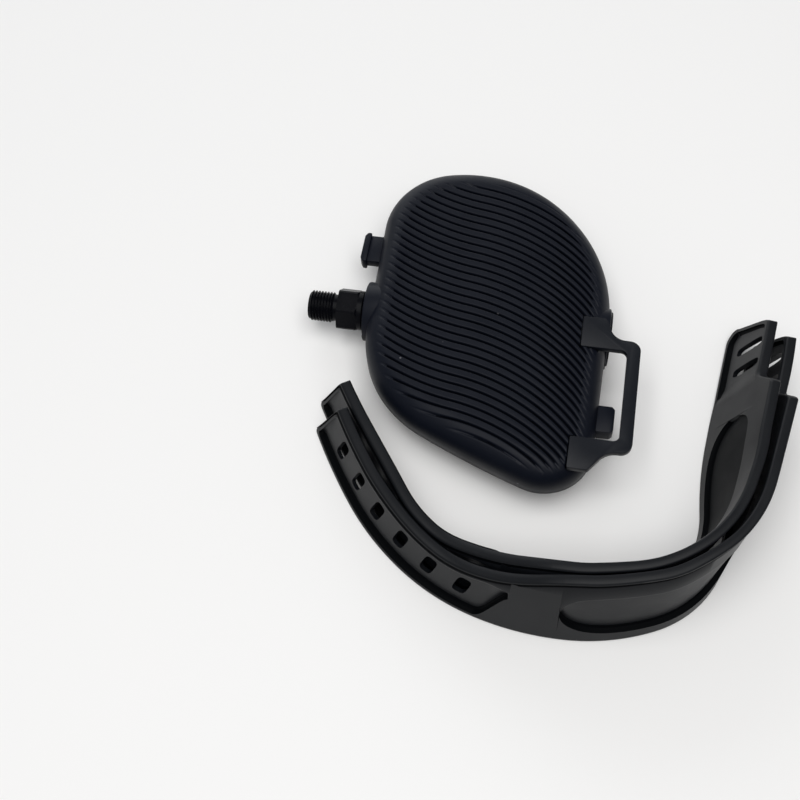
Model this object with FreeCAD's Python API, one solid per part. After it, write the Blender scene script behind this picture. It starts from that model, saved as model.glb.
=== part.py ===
"""Exercise bike pedal for the right foot, with two straps lying beside it.

Millimetres. The origin is on the spindle's axis, at the face where the crank stops. +X runs
outwards along the spindle, +Y towards the toe and +Z up through the tread.
"""
import math
import os

import FreeCAD
import Part
from FreeCAD import Vector

os.makedirs("parts", exist_ok=True)

# Spindle
thread_r = 6.35
thread_len = 12.5
thread_chamfer = 0.9
hex_af = 16.0
hex_len = 8.6
hex_chamfer = 1.3
hex_ease = 0.3
collar_r = 8.2
collar_len = 2.2
collar_ease = 0.3
hex_turn = 10.0
journal_r = 6.8
stud_r = 4.0

# Bearings
ball_r = 1.9
ball_count = 10
race_gap = 0.3
pitch_r = 6.6
inner_ball_from_end = 7.0
outer_ball_from_end = 13.2
cup_len = 6.0
cup_lip = 3.8
cup_hole_r = 5.9
cone_len = 4.5
washer_t = 1.0
washer_r = 6.2
nut_af = 12.0
nut_len = 4.0
stud_past_nut = 0.6
running_gap = 0.05

# Axle housing
tube_r = 10.4
tube_wall = 0.9
boss_r = 12.4
boss_proud_inner = 2.1
boss_proud_outer = 0.5
seal_len = 2.2
seal_depth = 0.4
cap_depth = 2.0
cap_flange_t = 0.8
cap_flange_r = 11.1
cap_wall = 1.4

# Body outline: a toe round with a flatter one outside it, three more rounds, and a bowed heel side
toe_r = 56.5
toe_x = 49.7
toe_y = 15.6
toe_inner_r = 31.1
toe_join_deg = 103.4
toe_outer_r = 70.3
toe_outer_join_deg = 52.6
heel_outer_r = 19.4
heel_outer_x = 91.5
heel_outer_y = -53.6
heel_inner_r = 50.3
heel_inner_x = 64.4
heel_inner_y = -9.4
heel_bow_r = 378.0

# Body heights and walls
tread_h = 14.0
base_h = 13.0
rim_r = 10.0
wall = 2.6
top_wall = 3.3
base_wall = 2.6
base_taper = 9.0
base_edge_r = 4.0

# Tread grooves: two tangent bends each, repeated along Y
groove_w = 1.15
groove_depth = 1.0
groove_pitch = 3.75
groove_first_y = 67.4
groove_count = 34
groove_mid_x = 54.0
groove_tilt = 8.3
groove_left_r = 87.0
groove_right_r = 80.0
groove_left_turn = 33.0
groove_right_turn = 50.0
field_inset = 4.6
field_ramp = 3.0
field_toe_shift = 4.6
field_inner_shift = 3.0

# Screws that join the two mouldings
post_r = 4.4
screw_r = 1.6
screw_clear = 0.3
screw_head_r = 3.2
screw_head_h = 2.2
screw_head_gap = 0.5
screw_seat = 5.0
screw_bite = 7.5
post_places = [(33.0, 49.0), (87.0, 37.0), (92.0, -53.0), (39.0, -27.0)]

# Strap pegs
peg_w = 13.3
peg_t = 4.0
peg_head_w = 14.8
peg_head_h = 6.0
peg_head_t = 2.8
peg_reach = 8.1
inner_peg_y = 28.9
outer_peg_y = -39.6
outer_peg_reach = 6.4
outer_peg_corner = 2.0

# Strap bracket
bracket_t = 2.6
bracket_gap = 0.15
pad_reach = 10.4
pad_a_outer = 0.7
pad_a_inner = -13.3
pad_b_inner = -53.9
pad_b_outer = -67.3
loop_gap = 8.0
bar_w = 5.1
arm_w = 4.6
bar_corner = 4.4
slot_corner = 2.5
tenon_r = 1.6
tenon_len = 3.0
tenon_inset = 1.9
tenon_from_edge = 3.9
arm_flare_a = 2.4
arm_flare_b = 4.0
arm_blend_a = 6.5
arm_blend_b = 8.0
pad_corner = 0.6
pad_block = 4.0

# Counterweight
weight_len = 50.0
weight_w = 16.0
weight_t = 6.0
weight_x = 60.0
weight_y = 24.0
weight_screw_step = 30.0
weight_screw_r = 1.5
weight_screw_clear = 0.2
weight_screw_bite = 1.8
weight_head_r = 3.0
weight_head_h = 2.0

# Straps: two like mouldings on edge, each bent along a plan path of (length, turn) runs
outer_strap_x = 0.8
outer_strap_y = -52.4
outer_strap_heading = -60.5
outer_strap_runs = [(34.0, 7.2), (34.0, 16.8), (34.0, 21.3), (34.0, 17.4), (34.0, 23.9), (34.0, 45.7),
                    (24.0, 17.8), (30.0, -4.0), (42.5, -1.0)]
outer_strap_leans = [(0.0, -0.47), (50.0, -0.42), (105.0, -0.25), (160.0, -0.2), (192.0, -0.08),
                     (210.0, 0.1), (228.0, 0.22), (250.0, 0.32), (285.0, 0.44)]
inner_strap_x = 0.2
inner_strap_y = -40.2
inner_strap_heading = -59.2
inner_strap_runs = [(26.0, 5.2), (34.0, 1.1), (34.0, 30.3), (34.0, 15.6), (34.0, 31.3), (34.0, 38.8),
                    (24.0, 31.2), (30.0, -10.7), (50.5, -1.0)]
inner_strap_leans = [(0.0, -0.43), (50.0, -0.4), (105.0, -0.31), (160.0, -0.17), (192.0, 0.07),
                     (210.0, 0.21), (228.0, 0.38), (250.0, 0.43), (285.0, 0.47)]
strap_t = 4.0
strap_edge = 0.7
strap_step = 12.0
strap_heights = [(0.0, 22.1), (90.0, 23.8), (112.0, 29.2), (134.0, 37.4), (163.0, 38.7), (190.0, 39.8),
                 (230.0, 38.8), (265.0, 37.2)]
end_low = 4.0
end_high = 7.0
end_low_r = 2.5
end_high_r = 3.0
channel_start = 6.0
channel_end = 104.0
channel_tip = 115.0
channel_low = 2.6
channel_tip_low = 18.5
channel_tip_high = 21.5
bead_h = 2.0
bead_step = 0.5
channel_below_bead = 0.4
channel_tip_steps = 4
recess_deep = 1.5
recess_shallow = 0.2
hole_first = 18.0
hole_step = 15.5
hole_count = 6
hole_len = 7.0
hole_w = 10.0
hole_lean = 1.8
hole_corner = 1.7
hole_climb = 0.012
panel_mid = 171.0
panel_half = 37.0
panel_low = 6.0
panel_high = 28.5
oval_mid = 227.0
oval_half = 26.0
oval_low = 5.0
oval_high = 29.0
shoulder_s = 262.7
shoulder_r = 2.5
neck_s = 273.2
neck_r = 3.0
tab_low = 1.8
tab_high = 30.3
tab_corner = 5.5
tab_rim = 1.8
tab_taper = 14.0
pocket_s = 269.0
pocket_ramp = 10.0
pocket_deep = 1.6
pocket_shallow = 0.5
slot_s = 291.0
slot_len = 18.0
tab_slot_w = 4.4
tab_slot_step = 10.4
tab_slot_corner = 1.9

# Values that follow from the sizes above
AXIS = Vector(1, 0, 0)
UP = Vector(0, 0, 1)
race_r = ball_r + race_gap
core_r = pitch_r - race_r
cup_r = tube_r - tube_wall
toe = Vector(toe_x, toe_y, 0)
toe_dir = Vector(math.cos(math.radians(toe_join_deg)), math.sin(math.radians(toe_join_deg)), 0)
toe_inner = toe + toe_dir * (toe_r - toe_inner_r)
toe_outer_dir = Vector(math.cos(math.radians(toe_outer_join_deg)), math.sin(math.radians(toe_outer_join_deg)), 0)
toe_outer = toe + toe_outer_dir * (toe_r - toe_outer_r)
heel_outer = Vector(heel_outer_x, heel_outer_y, 0)
heel_inner = Vector(heel_inner_x, heel_inner_y, 0)
plate_z = tread_h - bracket_t
strap_floor = -base_h


def along_x(x0, x1, r):
    """Solid cylinder on the spindle's axis."""
    return Part.makeCylinder(r, x1 - x0, Vector(x0, 0, 0), AXIS)


def ring(x0, x1, r0, r1):
    """Ring on the spindle's axis."""
    return along_x(x0, x1, r1).cut(along_x(x0 - 1, x1 + 1, r0))


def upright(x, y, z0, z1, r):
    """Solid cylinder along Z."""
    return Part.makeCylinder(r, z1 - z0, Vector(x, y, z0), UP)


def box(x0, x1, y0, y1, z0, z1):
    """Box between two corners."""
    return Part.makeBox(x1 - x0, y1 - y0, z1 - z0, Vector(x0, y0, z0))


def hexagon(af, x0, x1, turn):
    """Hexagonal bar on the spindle's axis, one flat up before the turn."""
    r = af / math.sqrt(3)
    corners = []
    for k in range(7):
        a = math.radians(60 * k + turn)
        corners.append(Vector(x0, r * math.cos(a), r * math.sin(a)))
    return Part.Face(Part.makePolygon(corners)).extrude(AXIS * (x1 - x0))


def rounded_wire(corners, place):
    """Closed wire through (u, v, radius) corners; place turns (u, v) into a point."""
    edges = []
    ends = []
    count = len(corners)
    for i in range(count):
        here = Vector(corners[i][0], corners[i][1], 0)
        before = Vector(corners[i - 1][0], corners[i - 1][1], 0)
        after = Vector(corners[(i + 1) % count][0], corners[(i + 1) % count][1], 0)
        radius = corners[i][2]
        if radius == 0:
            ends.append((here, here, None))
            continue
        a = (before - here).normalize()
        b = (after - here).normalize()
        half = a.getAngle(b) / 2
        mid_dir = (a + b).normalize()
        centre = here + mid_dir * (radius / math.sin(half))
        reach = radius / math.tan(half)
        ends.append((here + a * reach, here + b * reach, centre - mid_dir * radius))
    for i in range(count):
        first, last, middle = ends[i]
        if middle is not None:
            edges.append(Part.Arc(place(first), place(middle), place(last)).toShape())
        following = ends[(i + 1) % count][0]
        if (following - last).Length > 1e-6:
            edges.append(Part.makeLine(place(last), place(following)))
    return Part.Wire(edges)


def line_normal(c1, r1, c2, r2):
    """Outward normal of the line that touches two rounds, walked anticlockwise."""
    d = c2 - c1
    u = d * (1 / d.Length)
    k = (r1 - r2) / d.Length
    return u * k + Vector(u.y, -u.x, 0) * math.sqrt(1 - k * k)


def bow_centre():
    """Centre of the heel's bow, which touches both heel rounds from outside."""
    a = heel_bow_r - heel_inner_r
    b = heel_bow_r - heel_outer_r
    d = heel_outer - heel_inner
    u = d * (1 / d.Length)
    t = (a * a - b * b + d.Length ** 2) / (2 * d.Length)
    h = math.sqrt(a * a - t * t)
    return heel_inner + u * t + Vector(-u.y, u.x, 0) * h


bow = bow_centre()
n_inner = line_normal(toe_inner, toe_inner_r, heel_inner, heel_inner_r)
n_bow_inner = (heel_inner - bow).normalize()
n_bow_outer = (heel_outer - bow).normalize()
n_outer = line_normal(heel_outer, heel_outer_r, toe_outer, toe_outer_r)
ROUNDS = [
    (toe_outer, toe_outer_r, n_outer, toe_outer_dir),
    (toe, toe_r, toe_outer_dir, toe_dir),
    (toe_inner, toe_inner_r, toe_dir, n_inner),
    (heel_inner, heel_inner_r, n_inner, n_bow_inner),
    (bow, heel_bow_r, n_bow_inner, n_bow_outer),
    (heel_outer, heel_outer_r, n_bow_outer, n_outer),
]


def inner_side(y):
    """X of the body's straight inner side at y."""
    p = heel_inner + n_inner * heel_inner_r
    return p.x + (p.y - y) * n_inner.y / n_inner.x


def outer_side(y):
    """X of the body's straight outer side at y."""
    p = heel_outer + n_outer * heel_outer_r
    return p.x + (p.y - y) * n_outer.y / n_outer.x


outer_wall_x = outer_side(0)
boss_x0 = inner_side(0) - boss_proud_inner
boss_x1 = outer_wall_x + boss_proud_outer
tube_x0 = boss_x0 + seal_depth + seal_len
tube_x1 = boss_x1 - cap_depth
pad_x = outer_wall_x - pad_reach
tenon_x = pad_x + tenon_from_edge
bar_inner_x = outer_wall_x + loop_gap
bar_outer_x = bar_inner_x + bar_w


def outline(inset, z):
    """Body outline moved inwards by inset, at height z."""
    edges = []
    lift = Vector(0, 0, z)
    for i in range(len(ROUNDS)):
        centre, r, n0, n1 = ROUNDS[i]
        middle = (n0 + n1).normalize()
        points = [centre + n * (r - inset) + lift for n in (n0, middle, n1)]
        edges.append(Part.Arc(*points).toShape())
        following = ROUNDS[(i + 1) % len(ROUNDS)]
        start = following[0] + following[2] * (following[1] - inset) + lift
        if (start - points[2]).Length > 1e-6:
            edges.append(Part.makeLine(points[2], start))
    return Part.Wire(edges)


def slab(inset, z0, z1):
    """Straight-sided block of the body outline."""
    return Part.Face(outline(inset, z0)).extrude(Vector(0, 0, z1 - z0))


def tapered(inset0, z0, inset1, z1):
    """Block whose outline changes evenly from one height to another."""
    return Part.makeLoft([outline(inset0, z0), outline(inset1, z1)], True, True)


def round_edges_at(shape, z, r):
    """Round the edges that lie flat at one height."""
    edges = [e for e in shape.Edges
             if abs(e.BoundBox.ZMin - z) < 1e-4 and abs(e.BoundBox.ZMax - z) < 1e-4]
    return shape.makeFillet(r, edges)


def fuse_all(shapes):
    """One solid from several that touch or overlap."""
    return shapes[0].multiFuse(shapes[1:]).removeSplitter()


def one(shape):
    """The single solid of a boolean result."""
    if len(shape.Solids) != 1:
        raise ValueError("expected one solid, found %d" % len(shape.Solids))
    return shape.Solids[0]


def save(name, shape):
    """Check a node and write its file."""
    for solid in shape.Solids:
        if not solid.isValid() or solid.Volume <= 0:
            raise ValueError("bad solid in " + name)
    shape.exportStep("parts/" + name + ".step")


def groove(y):
    """Cutter for one groove that crosses the middle line at y."""
    tilt = math.radians(groove_tilt)
    ahead = Vector(math.cos(tilt), -math.sin(tilt), 0)
    over = Vector(math.sin(tilt), math.cos(tilt), 0)
    middle = Vector(groove_mid_x, y, tread_h - groove_depth)
    left_c = middle + over * groove_left_r
    right_c = middle - over * groove_right_r
    half = groove_w / 2

    def left(r, turn):
        a = math.radians(turn)
        return left_c - (over * math.cos(a) + ahead * math.sin(a)) * r

    def right(r, turn):
        a = math.radians(turn)
        return right_c + (over * math.cos(a) + ahead * math.sin(a)) * r

    lt = groove_left_turn
    rt = groove_right_turn
    near = groove_left_r - half
    far = groove_left_r + half
    high = groove_right_r + half
    low = groove_right_r - half
    edges = [
        Part.Arc(left(near, lt), left(near, lt / 2), left(near, 0)).toShape(),
        Part.Arc(right(high, 0), right(high, rt / 2), right(high, rt)).toShape(),
        Part.makeLine(right(high, rt), right(low, rt)),
        Part.Arc(right(low, rt), right(low, rt / 2), right(low, 0)).toShape(),
        Part.Arc(left(far, 0), left(far, lt / 2), left(far, lt)).toShape(),
        Part.makeLine(left(far, lt), left(near, lt)),
    ]
    return Part.Face(Part.Wire(edges)).extrude(UP * (groove_depth + 1))


# Upper moulding
reach = 4 * toe_r
upper_half = box(-reach, reach, -reach, reach, 0, reach)
lower_half = box(-reach, reach, -reach, reach, -reach, 0)
housing = along_x(boss_x0, boss_x1, boss_r)
bore = along_x(boss_x0 - 1, boss_x1 + 1, tube_r)

cover_body = round_edges_at(slab(0, 0, tread_h), tread_h, rim_r)

peg_mid = peg_head_h / 2
peg_wall_x = inner_side(inner_peg_y)
head_x0 = peg_wall_x - peg_reach
head_x1 = head_x0 + peg_head_t
stem = box(head_x1 - 0.1, peg_wall_x + wall, inner_peg_y - peg_w / 2, inner_peg_y + peg_w / 2,
           peg_mid - peg_t / 2, peg_mid + peg_t / 2)
head_cut = peg_head_t * 0.6
head_corners = [
    (head_x1, -peg_head_w / 2), (head_x1, peg_head_w / 2), (head_x1 - head_cut, peg_head_w / 2),
    (head_x0, peg_head_w / 2 - head_cut), (head_x0, -peg_head_w / 2 + head_cut),
    (head_x1 - head_cut, -peg_head_w / 2), (head_x1, -peg_head_w / 2),
]
head_face = Part.Face(Part.makePolygon([Vector(x, inner_peg_y + y, 0) for x, y in head_corners]))
inner_peg = stem.fuse(head_face.extrude(UP * peg_head_h))

outer_peg_wall = outer_side(outer_peg_y)
outer_end = outer_peg_wall + outer_peg_reach
outer_peg = box(outer_peg_wall - wall, outer_end, outer_peg_y - peg_w / 2, outer_peg_y + peg_w / 2,
                0, peg_head_h)
outer_corners = [e for e in outer_peg.Edges
                 if abs(e.BoundBox.XMin - outer_end) < 1e-4 and e.BoundBox.ZLength > 1]
outer_peg = outer_peg.makeFillet(outer_peg_corner, outer_corners)

cavity = round_edges_at(slab(wall, 0, tread_h - top_wall), tread_h - top_wall, rim_r - wall)
keep = [housing]
for x, y in post_places:
    keep.append(upright(x, y, 0, tread_h, post_r))
keep.append(box(pad_x - 2, outer_wall_x, pad_a_inner - 2, 0, plate_z - pad_block, tread_h))
keep.append(box(pad_x - 2, outer_wall_x, pad_b_outer, pad_b_inner + 2, plate_z - pad_block, tread_h))
cavity = cavity.cut(keep)

pads = [
    box(pad_x - bracket_gap, bar_outer_x, pad_a_inner - bracket_gap, pad_a_outer + bracket_gap,
        plate_z, tread_h + 1),
    box(pad_x - bracket_gap, bar_outer_x, pad_b_outer - bracket_gap, pad_b_inner + bracket_gap,
        plate_z, tread_h + 1),
]
tenon_places = [(tenon_x, pad_a_inner + tenon_inset), (tenon_x, (pad_b_inner + pad_b_outer) / 2)]
holes = []
for x, y in post_places:
    holes.append(upright(x, y, -1, screw_bite, screw_r))
for x, y in tenon_places:
    holes.append(upright(x, y, plate_z - tenon_len, plate_z + 1, tenon_r))

field = tapered(field_inset + field_ramp, tread_h - groove_depth, field_inset, tread_h + 1)
field_copy = field.copy()
field_copy.translate(Vector(field_inner_shift, -field_toe_shift, 0))
field = field.common(field_copy)
grooves = []
for k in range(groove_count):
    for solid in groove(groove_first_y - k * groove_pitch).common(field).Solids:
        grooves.append(solid)

cover = fuse_all([cover_body, housing.common(upper_half), inner_peg, outer_peg])
cover = cover.cut([cavity, bore])
cover = cover.cut(pads + holes)
tread_cover = one(cover.cut(grooves))
save("tread_cover", tread_cover)

# Lower moulding
base = round_edges_at(tapered(0, 0, base_taper, -base_h), -base_h, base_edge_r)
base = fuse_all([base, housing.common(lower_half)])
base_floor = -base_h + base_wall
room = tapered(wall * 1.2, 0, base_taper + wall * 0.5, base_floor)
towers = []
seats = []
for x, y in post_places:
    towers.append(upright(x, y, -base_h, 0, post_r))
    seats.append(upright(x, y, -base_h - 1, -screw_seat, screw_head_r + screw_head_gap))
    seats.append(upright(x, y, -base_h, 1, screw_r + screw_clear))
room = room.cut([housing] + towers)
weight_places = [(weight_x - weight_screw_step / 2, weight_y), (weight_x + weight_screw_step / 2, weight_y)]
for x, y in weight_places:
    seats.append(upright(x, y, base_floor - weight_screw_bite, base_floor + 1, weight_screw_r))
lower_shell = one(base.cut([room, bore]).cut(seats))
save("lower_shell", lower_shell)

# Screws that join the mouldings, driven from below
cover_screws = []
for x, y in post_places:
    head = upright(x, y, -screw_seat - screw_head_h, -screw_seat, screw_head_r)
    shank = upright(x, y, -screw_seat - 0.1, screw_bite, screw_r)
    slot_depth = -screw_seat - screw_head_h + 1.3
    bar_a = box(x - 2, x + 2, y - 0.45, y + 0.45, -base_h, slot_depth)
    bar_b = box(x - 0.45, x + 0.45, y - 2, y + 2, -base_h, slot_depth)
    cover_screws.append(one(head.fuse(shank).cut([bar_a, bar_b])))
save("cover_screws", Part.makeCompound(cover_screws))

# Strap bracket
arm_a = pad_a_inner + arm_w
arm_b = pad_b_inner - arm_w
neck_a = outer_wall_x - 1.0
neck_b = outer_wall_x - slot_corner
plate_corners = [
    (pad_x, pad_a_outer, pad_corner), (neck_a, pad_a_outer, slot_corner),
    (outer_wall_x + arm_flare_a, arm_a, arm_blend_a), (bar_outer_x, arm_a, bar_corner),
    (bar_outer_x, arm_b, bar_corner), (outer_wall_x + arm_flare_b, arm_b, arm_blend_b),
    (neck_b, pad_b_outer, 1.0), (pad_x, pad_b_outer, pad_corner), (pad_x, pad_b_inner, pad_corner),
    (bar_inner_x, pad_b_inner, slot_corner), (bar_inner_x, pad_a_inner, slot_corner),
    (pad_x, pad_a_inner, pad_corner),
]
plate_wire = rounded_wire(plate_corners, lambda p: Vector(p.x, p.y, plate_z))
plate = Part.Face(plate_wire).extrude(UP * bracket_t)
bracket = [plate]
for x, y in tenon_places:
    bracket.append(upright(x, y, plate_z - tenon_len, plate_z + 0.5, tenon_r))
strap_bracket = one(fuse_all(bracket))
save("strap_bracket", strap_bracket)

# Axle sleeve, bearing cups, seal and cap
save("axle_tube", ring(tube_x0, tube_x1, cup_r, tube_r))

inner_x = boss_x0 + inner_ball_from_end
outer_x = boss_x1 - outer_ball_from_end
inner_race = Part.makeTorus(pitch_r, race_r, Vector(inner_x, 0, 0), AXIS)
outer_race = Part.makeTorus(pitch_r, race_r, Vector(outer_x, 0, 0), AXIS)
cup_mouth_r = pitch_r + race_r
cup_back = cup_lip
cup_front = cup_len - cup_lip
inner_cup = ring(inner_x - cup_front, inner_x + cup_back, cup_hole_r, cup_r)
inner_cup = one(inner_cup.cut([inner_race, along_x(inner_x - cup_len, inner_x, cup_mouth_r)]))
save("inner_cup", inner_cup)
outer_cup = ring(outer_x - cup_back, outer_x + cup_front, cup_hole_r, cup_r)
outer_cup = one(outer_cup.cut([outer_race, along_x(outer_x, outer_x + cup_len, cup_mouth_r)]))
save("outer_cup", outer_cup)

save("inner_seal", ring(boss_x0 + seal_depth, tube_x0, journal_r + running_gap, tube_r))

cap = along_x(tube_x1, boss_x1, tube_r).fuse(along_x(boss_x1, boss_x1 + cap_flange_t, cap_flange_r))
cap = cap.removeSplitter().cut(along_x(tube_x1 - 1, boss_x1 - cap_wall + cap_flange_t, tube_r - cap_wall))
cap_rim = [e for e in cap.Edges
           if abs(e.BoundBox.XMin - boss_x1 - cap_flange_t) < 1e-4 and e.BoundBox.XLength < 1e-4]
dust_cap = one(cap.makeFillet(cap_flange_t * 0.7, cap_rim))
save("dust_cap", dust_cap)

# Counterweight on the floor of the lower moulding
weight = box(weight_x - weight_len / 2, weight_x + weight_len / 2, weight_y - weight_w / 2,
             weight_y + weight_w / 2, base_floor, base_floor + weight_t)
weight_top = base_floor + weight_t
weight_screws = []
for x, y in weight_places:
    weight = weight.cut(upright(x, y, base_floor - 1, weight_top + 1, weight_screw_r + weight_screw_clear))
    shank = upright(x, y, base_floor - weight_screw_bite, weight_top + 0.1, weight_screw_r)
    weight_screws.append(one(shank.fuse(upright(x, y, weight_top, weight_top + weight_head_h, weight_head_r))))
save("counterweight", one(weight))
save("weight_screws", Part.makeCompound(weight_screws))

# Spindle with its own inner cone
cone_end = outer_x + cone_len
nut_start = cone_end + washer_t
nut_end = nut_start + nut_len
shaft_end = outer_x - cup_back - 1
thread = along_x(-thread_len, 0.5, thread_r)
tip = [e for e in thread.Edges if abs(e.BoundBox.XMax + thread_len) < 1e-4]
thread = thread.makeChamfer(thread_chamfer, tip)
hex_bar = hexagon(hex_af, 0, hex_len, hex_turn)
corner_r = hex_af / math.sqrt(3)
bevel = Part.makeCone(corner_r + 4 * hex_chamfer, corner_r - hex_chamfer * 0.6, 5 * hex_chamfer,
                      Vector(hex_len - 5 * hex_chamfer + 0.6 * hex_chamfer, 0, 0), AXIS)
long_bar = along_x(-1, hex_len - 4 * hex_chamfer, 3 * corner_r)
bevel_front = Part.makeCone(corner_r - hex_ease, corner_r + hex_len, hex_len + hex_ease, Vector(), AXIS)
hex_bar = hex_bar.common(bevel.fuse(long_bar)).common(
    bevel_front.fuse(along_x(hex_len / 2, 2 * hex_len, 3 * corner_r)))
collar = along_x(hex_len - collar_ease, hex_len + collar_len, collar_r)
collar_rim = [e for e in collar.Edges if abs(e.BoundBox.XMin - hex_len - collar_len) < 1e-4]
collar = collar.makeChamfer(collar_ease, collar_rim)
journal = along_x(hex_len, inner_x, journal_r).cut(inner_race)
shaft = along_x(inner_x - race_r, shaft_end, core_r)
stud = along_x(shaft_end - 0.5, nut_end + stud_past_nut, stud_r)
spindle = one(fuse_all([thread, hex_bar, collar, journal, shaft, stud]))
save("spindle", spindle)

outer_cone = ring(outer_x, cone_end, stud_r, pitch_r).cut(outer_race)
save("outer_cone", one(outer_cone))
save("lock_washer", ring(cone_end, nut_start, stud_r, washer_r))
locknut = hexagon(nut_af, nut_start, nut_end, 0).cut(along_x(nut_start - 1, nut_end + 1, stud_r))
save("locknut", one(locknut))

# Loose balls
for name, x in (("inner_balls", inner_x), ("outer_balls", outer_x)):
    balls = []
    for k in range(ball_count):
        a = 2 * math.pi * k / ball_count
        balls.append(Part.makeSphere(ball_r, Vector(x, pitch_r * math.cos(a), pitch_r * math.sin(a))))
    save(name, Part.makeCompound(balls))

# Straps
half_t = strap_t / 2
outer_n = half_t - bead_step
strap_len = sum(run[0] for run in outer_strap_runs)
strap_far = 4 * strap_t


def between(stations, s):
    """Value at distance s on an even run between named stations."""
    for i in range(len(stations) - 1):
        s0, a = stations[i]
        s1, b = stations[i + 1]
        if s <= s1:
            return a + (b - a) * max(0.0, (s - s0) / (s1 - s0))
    return stations[-1][1]


def strap_at(path, s):
    """Plan point and heading of a strap's middle at distance s from its holed end."""
    x, y, heading, runs = path[:4]
    a = math.radians(heading)
    left_over = s
    for i in range(len(runs)):
        length, turn = runs[i]
        last = i == len(runs) - 1
        part = left_over if last else min(left_over, length)
        bend = math.radians(turn) * part / length
        if abs(bend) < 1e-9:
            x += part * math.cos(a)
            y += part * math.sin(a)
        else:
            r = part / bend
            x += r * (math.sin(a + bend) - math.sin(a))
            y -= r * (math.cos(a + bend) - math.cos(a))
        a += bend
        left_over -= part
        if left_over <= 0 and not last:
            break
    return Vector(x, y, strap_floor), a


def strap_height(s):
    """Height of a strap's top edge at distance s."""
    return between(strap_heights, s)


def strap_point(path, s, v, n):
    """Point at distance s, height v and n outwards from a strap's middle surface."""
    p, a = strap_at(path, s)
    reach = n + between(path[4], s) * v
    return p + Vector(math.sin(a), -math.cos(a), 0) * reach + Vector(0, 0, v)


def steps(s0, s1, step):
    """Even distances from s0 to s1, near the wanted step."""
    count = max(2, round((s1 - s0) / step))
    return [s0 + (s1 - s0) * k / count for k in range(count + 1)]


def strap_body(path):
    """Strip with eased edges and a bead along the top of its outer face."""
    e = strap_edge
    wires = []
    for s in steps(0, strap_len, strap_step):
        high = strap_height(s)
        bead = high - bead_h
        section = [(0, -half_t + e), (e, -half_t), (high - e, -half_t), (high, -half_t + e), (high, half_t - e),
                   (high - e, half_t), (bead, half_t), (bead, outer_n), (e, outer_n), (0, outer_n - e)]
        p = [strap_point(path, s, v, n) for v, n in section]
        wires.append(Part.makePolygon(p + [p[0]]))
    return Part.makeLoft(wires, True)


def face_cut(path, face, stations, ruled=False):
    """Recess cutter on the outer (+1) or inner (-1) face.

    Each station is (s, low, high, depth at low, depth at high).
    """
    wires = []
    skin = outer_n if face > 0 else half_t
    out = face * (half_t + 1)
    for s, low, high, deep_low, deep_high in stations:
        p = [strap_point(path, s, low, face * (skin - deep_low)), strap_point(path, s, low, out),
             strap_point(path, s, high, out), strap_point(path, s, high, face * (skin - deep_high))]
        wires.append(Part.makePolygon(p + [p[0]]))
    return Part.makeLoft(wires, True, ruled)


def strap_frame(path, s):
    """Foot of the strap at s, directions along, up and out of its face, and length up the face per height."""
    p, a = strap_at(path, s)
    along = Vector(math.cos(a), math.sin(a), 0)
    rise = Vector(math.sin(a), -math.cos(a), 0) * between(path[4], s) + UP
    up = Vector(rise).normalize()
    return p, along, up, along.cross(up).normalize(), rise.Length


def strap_prism(path, s, corners, n0, n1):
    """Prism square to the strap's face at s, from corners (distance from s, height, radius)."""
    foot, along, up, out, gain = strap_frame(path, s)
    scaled = [(u, v * gain, r) for u, v, r in corners]
    wire = rounded_wire(scaled, lambda q: foot + along * q.x + up * q.y + out * n0)
    return Part.Face(wire).extrude(out * (n1 - n0))


def oval(mid, half, low, high):
    """Stations of a long recess with round ends, deep along its lower side."""
    stations = []
    for k in range(15):
        t = -math.cos(math.pi * (k + 0.35) / 14.7)
        grow = max((1 - abs(t) ** 3) ** 0.5, 0.06)
        centre = (low + high) / 2
        reach = (high - low) / 2 * grow
        stations.append((mid + half * t, centre - reach, centre + reach, recess_deep, recess_shallow))
    return stations


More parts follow.
